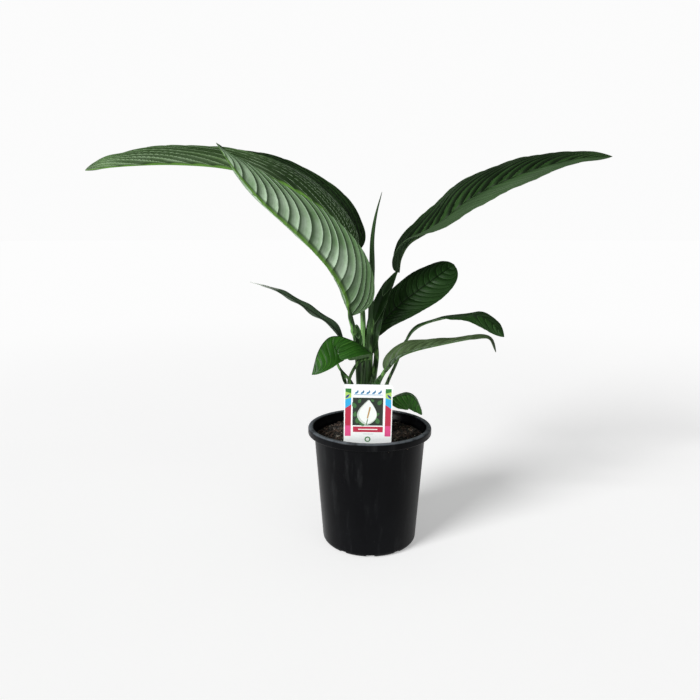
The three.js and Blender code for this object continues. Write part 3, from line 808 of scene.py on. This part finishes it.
crown_mesh = turn([
    (0, crown_low.z), (crown_radius * 0.7, crown_low.z), (crown_radius * 0.95, crown_low.z + 10 * MM),
    (crown_radius, crown_high.z - 14 * MM), (crown_radius * 0.99, crown_high.z - 6 * MM),
    (crown_radius * 0.93, crown_high.z - 2 * MM), (crown_radius * 0.8, crown_high.z),
    (crown_radius * 0.5, crown_high.z + 0.6 * MM), (0, crown_high.z + 0.4 * MM)], CROWN_TURN_STEPS)
for vert in crown_mesh.verts:
    bearing = math.atan2(vert.co.y, vert.co.x)
    rib = 1 + 0.05 * abs(math.sin(bearing * CROWN_RIBS / 2)) - 0.05 + 0.04 * noise.noise(vert.co * 160)
    vert.co.x = vert.co.x * rib + crown_centre.x
    vert.co.y = vert.co.y * rib + crown_centre.y
smooth(crown_mesh, 70)
new_piece("crown_stem", crown_mesh, [crown_finish()], ["crown"])


# ---- spear leaf ----
# The youngest leaf, still rolled into a slender spear. One edge of the blade wraps over the rest
# and shows as a line that winds slowly up to the point.

SPEAR_LINE = [(-6, 0.5), (-6, 3, 262), (-3, 9, 330), (1, 15, 380), (3, 15, 445), (3, 12, 491),
              (8, 8, 529), (17, 5, 564)]
SPEAR_RADIUS = 4.6 * MM
SPEAR_TIP = 0.3 * MM
SPEAR_WRAP = 1.3             # how often the free edge goes round on its way up
SPEAR_LAP = 0.22             # how far the free edge stands out, as a part of the radius


def spear_mesh(steps=170, sides=40):
    centres = evenly_along(SPEAR_LINE, steps)
    ways = directions(centres)
    bm = bmesh.new()
    along_layer = bm.verts.layers.float.new("along")
    lap_layer = bm.verts.layers.float.new("lap")
    bmesh.ops.create_grid(bm, x_segments=steps, y_segments=sides, size=0.5)
    for vert in bm.verts:
        t = vert.co.x + 0.5
        round_it = vert.co.y + 0.5
        i = round(t * steps)
        side = ways[i].cross(Vector((0, -1, 0))).normalized()
        front = side.cross(ways[i])
        radius = SPEAR_TIP + (SPEAR_RADIUS - SPEAR_TIP) * min(1, (1 - t) * 3.2) ** 0.8
        radius *= 0.72 + 0.28 * ease(t, 0.42, 0.62)
        lap = ease(t, 0.38, 0.5) * SPEAR_LAP * (1 - round_it) * ease(round_it, 0, 0.05)
        bearing = math.tau * (round_it + SPEAR_WRAP * t + 0.35)
        reach = radius * (1 - SPEAR_LAP / 2 + lap)
        vert[along_layer] = t
        vert[lap_layer] = round_it
        vert.co = centres[i] + side * (reach * math.cos(bearing)) + front * (reach * math.sin(bearing))
    bmesh.ops.remove_doubles(bm, verts=bm.verts, dist=1e-5)
    bmesh.ops.holes_fill(bm, edges=bm.edges, sides=0)
    bmesh.ops.recalc_face_normals(bm, faces=bm.faces)
    smooth(bm, 50)
    return bm


def spear_finish():
    finish = Finish("rolled_leaf", roughness=0.42, specular=0.25)
    lap = finish.attribute("lap")
    ribs = finish.math("PINGPONG", finish.math("MULTIPLY", lap, 9), 0.5)
    along = finish.attribute("along")
    leaf_green = finish.mix(finish.spread(ribs, 0, 0.5), (0.010, 0.030, 0.006), (0.032, 0.088, 0.020))
    lower = finish.spread(along, 0.36, 0.52, 1, 0)
    finish.set("Base Color", finish.mix(lower, leaf_green, (0.07, 0.16, 0.045)))
    finish.set("Normal", finish.bump(finish.spread(ribs, 0, 0.5), 0.0004, 0.7))
    return finish.material


new_piece("rolled_spear_leaf", spear_mesh(), [spear_finish()], ["spear_leaf"])


# ---- sheaths ----
# Two small pointed bracts, thin as paper and hollow towards the stalk they stand against.

SHEATHS = {
    "left": dict(
        spine=[(-38, -2, 262), (-41, -3, 270), (-44, -3, 278), (-47, -2, 285)],
        face=[(0.5, -0.8, 0.3)] * 3, half=3.5, shape=(0.5, 0.7), left=(15,) * 3, right=(15,) * 3,
        veins=5, pleat=0.15, wave=(0.2, 2, 0), twist=0, radius=(1.5, 1.0)),
    "right": dict(
        spine=[(7, -30, 240), (8, -31, 255), (11, -33, 270), (16, -36, 286)],
        face=[(-0.5, -0.8, 0.2)] * 3, half=6, shape=(0.4, 0.5), left=(20,) * 3, right=(20,) * 3,
        veins=5, pleat=0.2, wave=(0.3, 2, 0), twist=0, radius=(1.5, 1.0)),
}
for name, sheath in SHEATHS.items():
    bract_mesh = blade_mesh(sheath, 40, 16)
    new_piece("bract_" + name, bract_mesh, [wing_skin, wing_skin], ["sheath_" + name])

# The stalks of two leaves also keep the papery wings that wrapped the next leaf before it opened.
WINGS = {
    "right": dict(
        spine=[(0, 17, 306), (6, 24, 350), (13, 31, 378), (25, 42, 408), (45, 56, 440)],
        face=[(-0.2, -1, 0.1)] * 3, half=12, shape=(0.4, 0.62), left=(8, 6, 4), right=(8, 14, 10),
        veins=3, pleat=0.6, wave=(1.8, 4, 0.1), twist=0, radius=(2, 1.2)),
    "front_left": dict(
        spine=[(-13, -12, 300), (-17, -13, 322), (-19, -14, 340), (-22, -15, 362)],
        face=[(0.3, -1, 0.1)] * 3, half=6.5, shape=(0.5, 0.5), left=(10,) * 3, right=(12,) * 3,
        veins=3, pleat=0.4, wave=(1.5, 3, 0.3), twist=0, radius=(2, 1.0)),
}
for name, wing in WINGS.items():
    wing_mesh = blade_mesh(wing, 90, 24)
    new_piece("stalk_wing_" + name, wing_mesh, [wing_skin, wing_skin])


# ---- tag ----
# A card die-cut from white plastic, narrowing to a stake that is pushed into the mix. The print is
# plain: five small sprigs, coloured side bars, a white flower on a dark ground, a red bar below it
# and a ring at the foot.

CARD_HALF = 36 * MM          # half its width
CARD_TOP = 281 * MM
CARD_THICKNESS = 0.8 * MM
CARD_MIDDLE = -5.7 * MM
CARD_SHOULDER = 190 * MM
STAKE_HALF = 12 * MM
STAKE_TIP = 128 * MM
STAKE_POINT = 12 * MM        # height of the stake's pointed end
STAKE_TAPER = 0.7            # the stake is this much of its width where the point starts
SHOULDER_BEND = 14 * MM      # height over which the card narrows to its stake
CARD_ROLL = 0.9              # degrees
INK = 0.03 * MM              # each layer of print stands this much proud of the one below
CARD_VIEW = 86 * MM          # height of the printed part of the card

INKS = {
    "white": (0.80, 0.83, 0.82), "green": (0.018, 0.17, 0.022), "lime": (0.36, 0.56, 0.11),
    "sky": (0.015, 0.35, 0.66), "crimson": (0.42, 0.010, 0.045), "navy": (0.012, 0.03, 0.20),
    "ground": (0.006, 0.014, 0.006), "foliage": (0.035, 0.13, 0.03), "petal": (0.74, 0.78, 0.74),
    "petal_shade": (0.50, 0.56, 0.50), "spadix": (0.40, 0.24, 0.07), "grey": (0.42, 0.45, 0.45),
    "title": (0.045, 0.22, 0.42), "pink": (0.62, 0.055, 0.20),
}


def ink(name, colour):
    finish = Finish("print_" + name, roughness=0.32, specular=0.5)
    here = finish.place()
    screen = finish.noise(here, 420, 2, 0.5)
    faded = tinted(colour, 0.95)
    finish.set("Base Color", finish.mix(finish.spread(screen, 0.35, 0.65), faded, colour))
    finish.set("Roughness", finish.spread(finish.noise(here, 60, 3), 0.3, 0.7, 0.28, 0.38))
    finish.set("Normal", finish.bump(screen, 0.00004, 0.3))
    return finish.material


card_low, card_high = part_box("plant_tag")
card_y = (card_low.y + card_high.y) / 2
card_turn = Matrix.Translation((CARD_MIDDLE, card_y, CARD_SHOULDER))
card_turn = card_turn @ Matrix.Rotation(math.radians(CARD_ROLL), 4, "Y")
card_turn = card_turn @ Matrix.Translation((0, 0, -CARD_SHOULDER))


def sheet_of(points, front, thickness, bm, finish_number):
    """A flat shape standing upright: its outline given as (x, z), its front at the given y."""
    verts = [bm.verts.new((x, front, z)) for x, z in points]
    face = bm.faces.new(verts)
    face.normal_update()
    if face.normal.y > 0:
        face.normal_flip()
    face.material_index = finish_number
    back = bmesh.ops.extrude_face_region(bm, geom=[face])["geom"]
    moved = [v for v in back if isinstance(v, bmesh.types.BMVert)]
    bmesh.ops.translate(bm, vec=(0, thickness, 0), verts=moved)


def curve_points(start, bend, end, steps=8):
    """Points along a curve from start to end, pulled towards bend."""
    a, b, c = Vector(start), Vector(bend), Vector(end)
    parts = [i / steps for i in range(steps + 1)]
    return [tuple(a * (1 - x) ** 2 + b * 2 * x * (1 - x) + c * x * x) for x in parts]


half_outline = [(CARD_HALF - 1.2 * MM, CARD_TOP), (CARD_HALF - 0.35 * MM, CARD_TOP - 0.35 * MM),
                (CARD_HALF, CARD_TOP - 1.2 * MM), (CARD_HALF, CARD_SHOULDER)]
half_outline += curve_points((CARD_HALF, CARD_SHOULDER), (STAKE_HALF + 2 * MM, CARD_SHOULDER - 2 * MM),
                             (STAKE_HALF, CARD_SHOULDER - SHOULDER_BEND))[1:]
half_outline += [(STAKE_HALF * STAKE_TAPER, STAKE_TIP + STAKE_POINT)]
card_outline = half_outline + [(0, STAKE_TIP)] + [(-x, z) for x, z in reversed(half_outline)]
card_mesh = bmesh.new()
sheet_of(card_outline, -CARD_THICKNESS / 2, CARD_THICKNESS, card_mesh, 0)
bmesh.ops.recalc_face_normals(card_mesh, faces=card_mesh.faces)
bmesh.ops.transform(card_mesh, matrix=card_turn, verts=card_mesh.verts)
new_piece("tag_card", card_mesh, [ink("white", INKS["white"])], ["plant_tag"])

print_mesh = bmesh.new()
ink_names = [name for name in INKS if name != "white"]


def patch(colour, points, layer=1):
    """One printed shape. Points are parts of the card's width and of its printed height, from top left."""
    on_card = [((x - 0.5) * 2 * CARD_HALF, CARD_TOP - z * CARD_VIEW) for x, z in points]
    front = -CARD_THICKNESS / 2 - INK * layer
    sheet_of(on_card, front, INK * layer * 0.98, print_mesh, ink_names.index(colour))


def drop(x, z, length, width, lean, steps=14):
    """Outline of a leaf or petal from its foot at (x, z), pointed at the other end."""
    sides = []
    for sign in (1, -1):
        row = []
        for i in range(steps + 1):
            part = i / steps
            out = sign * width * math.sin(math.pi * part ** 0.75)
            row.append((out, part * length))
        sides.append(row)
    outline = sides[0] + sides[1][-2:0:-1]
    c, s = math.cos(math.radians(lean)), math.sin(math.radians(lean))
    return [(x + px * c + pz * s, z - (pz * c - px * s) * 0.85) for px, pz in outline]


SIDE_BAR = (
    ("green", [(0.022, 0.075), (0.145, 0.075), (0.145, 0.16), (0.022, 0.13)], 1),
    ("lime", [(0.022, 0.13), (0.145, 0.16), (0.145, 0.235), (0.022, 0.27)], 1),
    ("sky", [(0.022, 0.27), (0.145, 0.235), (0.145, 0.36), (0.022, 0.43)], 1),
    ("crimson", [(0.022, 0.43), (0.145, 0.36), (0.145, 0.93), (0.022, 0.93)], 1),
    ("navy", drop(0.03, 0.245, 0.12, 0.022, 45), 2),
    ("pink", [(0.022, 0.74), (0.145, 0.74), (0.145, 0.93), (0.022, 0.93)], 2),
)
for colour, points, layer in SIDE_BAR:
    patch(colour, points, layer)
for colour, points, layer in SIDE_BAR:
    patch(colour, [(1 - x, z) for x, z in points], layer)

for i in range(5):
    x = 0.26 + 0.12 * i
    patch("title", drop(x - 0.045, 0.165, 0.10, 0.020, 62))
    patch("title", drop(x + 0.005, 0.15, 0.07, 0.014, 20))
patch("title", [(0.2, 0.178), (0.8, 0.178), (0.8, 0.188), (0.2, 0.188)])
patch("ground", [(0.178, 0.235), (0.81, 0.235), (0.81, 0.735), (0.178, 0.735)])
for x, z, lean, size in ((0.24, 0.42, -30, 0.14), (0.30, 0.33, 25, 0.10), (0.27, 0.70, 15, 0.16),
                         (0.70, 0.36, 40, 0.13), (0.62, 0.30, -60, 0.08), (0.72, 0.70, -20, 0.14),
                         (0.45, 0.72, -70, 0.16), (0.63, 0.55, 70, 0.12), (0.22, 0.58, 10, 0.12)):
    patch("foliage", drop(x, z, size, size * 0.32, lean), 2)
patch("petal_shade", drop(0.462, 0.73, 0.54, 0.205, 4), 3)
patch("petal", drop(0.478, 0.70, 0.50, 0.185, 5), 4)
patch("spadix", [(0.475, 0.60), (0.50, 0.61), (0.555, 0.42), (0.545, 0.395), (0.525, 0.40)], 5)
patch("foliage", [(0.455, 0.733), (0.475, 0.733), (0.50, 0.62), (0.488, 0.61)], 5)
patch("crimson", [(0.19, 0.755), (0.815, 0.755), (0.815, 0.855), (0.19, 0.855)])
patch("petal", [(0.30, 0.797), (0.70, 0.797), (0.70, 0.813), (0.30, 0.813)], 2)
patch("grey", [(0.40, 0.885), (0.62, 0.885), (0.62, 0.893), (0.40, 0.893)])
RING_SIDES = 24
bearings = [math.tau * i / RING_SIDES for i in range(RING_SIDES)]
for size, colour, layer in ((1, "green", 1), (0.6, "petal", 2)):
    ring = [(0.5 + 0.062 * size * math.cos(a), 0.985 + 0.05 * size * math.sin(a)) for a in bearings]
    patch(colour, ring, layer)
bmesh.ops.recalc_face_normals(print_mesh, faces=print_mesh.faces)
bmesh.ops.transform(print_mesh, matrix=card_turn, verts=print_mesh.verts)
new_piece("tag_print", print_mesh, [ink(name, INKS[name]) for name in ink_names])


# ---- studio: a pale floor that fades into a plain white backdrop, and soft light from the left and front ----

FLOOR_NEAR = 0.7             # the floor stays a floor this far out, and is plain white from FLOOR_FAR
FLOOR_FAR = 3.0
SKY_LIGHT = 0.16             # what the walls of the studio give back
BACKDROP_WHITE = 0.97
FLOOR_REACH = 40.0
FLOOR_GLOW = 0.34            # the floor near the pot gives back the light of the room around it


def studio_finish():
    """Pale floor whose texture and shadow fade out into plain white a few metres away."""
    finish = Finish("studio_white", roughness=0.9, specular=0.1)
    grain = finish.noise(finish.place(), 3, 2)
    away = finish.add("VectorMath", {0: finish.place()}, operation="LENGTH").outputs["Value"]
    far = finish.spread(away, FLOOR_NEAR, FLOOR_FAR)
    paint = finish.mix(grain, (0.86, 0.86, 0.86), (0.88, 0.88, 0.88))
    finish.set("Base Color", finish.mix(far, paint, (0, 0, 0)))
    finish.set("Emission Color", (1, 1, 1))
    glow = finish.spread(away, FLOOR_NEAR, FLOOR_FAR, FLOOR_GLOW, BACKDROP_WHITE)
    finish.set("Emission Strength", glow)
    return finish.material


floor_mesh = bmesh.new()
bmesh.ops.create_circle(floor_mesh, cap_ends=True, segments=96, radius=FLOOR_REACH)
floor_data = bpy.data.meshes.new("floor")
floor_mesh.to_mesh(floor_data)
floor_mesh.free()
floor_data.materials.append(studio_finish())
floor = bpy.data.objects.new("floor", floor_data)
bpy.context.scene.collection.objects.link(floor)


def soft_sun(name, place, strength, spread):
    """A large soft source far away, shining from the given place towards the plant."""
    data = bpy.data.lights.new(name, "SUN")
    data.energy = strength
    data.angle = math.radians(spread)
    lamp = bpy.data.objects.new(name, data)
    lamp.location = place
    lamp.rotation_euler = (Vector((0, 0, 0.3)) - Vector(place)).to_track_quat("-Z", "Y").to_euler()
    bpy.context.scene.collection.objects.link(lamp)


soft_sun("window", (-2.1, -2.0, 1.6), 3.7, 26)
soft_sun("fill", (1.0, -2.5, 1.4), 0.3, 70)

world = bpy.data.worlds.new("studio")
world.use_nodes = True
sky_nodes = world.node_tree.nodes
sky = sky_nodes["Background"]
sky.inputs["Color"].default_value = (1, 1, 1, 1)
seen = sky_nodes.new("ShaderNodeLightPath").outputs["Is Camera Ray"]
level = sky_nodes.new("ShaderNodeMapRange")
level.inputs["To Min"].default_value = SKY_LIGHT
level.inputs["To Max"].default_value = BACKDROP_WHITE
world.node_tree.links.new(seen, level.inputs["Value"])
world.node_tree.links.new(level.outputs["Result"], sky.inputs["Strength"])
bpy.context.scene.world = world
bpy.context.scene.view_settings.view_transform = "Standard"
